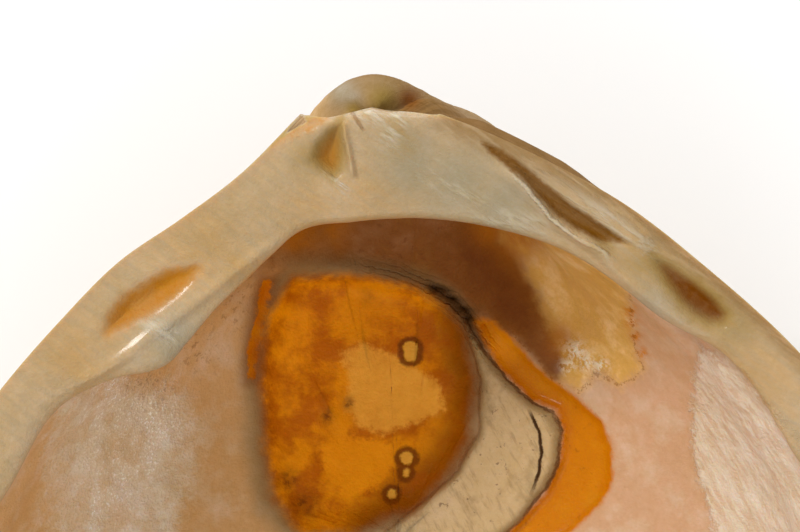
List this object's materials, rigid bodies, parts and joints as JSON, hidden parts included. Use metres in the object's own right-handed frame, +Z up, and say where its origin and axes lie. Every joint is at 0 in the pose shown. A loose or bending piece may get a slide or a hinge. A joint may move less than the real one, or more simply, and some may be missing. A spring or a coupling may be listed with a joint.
{
  "type": "cockle shell valve",
  "caption": "Right valve of a smooth cockle, lying hollow side up, with beak, hinge plate, teeth, sockets and a broken blister inside.",
  "frame": {"origin": "middle of the valve's bounding box in plan, on the surface that it lies on", "axes": "+Z up, out of the hollow; +Y towards the beak and hinge; +X towards the animal's back end"},
  "size_m": [0.0596, 0.0606, 0.0222],
  "materials": {
    "shell": "waxy cream hinge plate, pinkish inside with amber stains, matt tan outside with faint ribs"
  },
  "bodies": {
    "root": {"valve": "shell"}
  },
  "joints": []
}
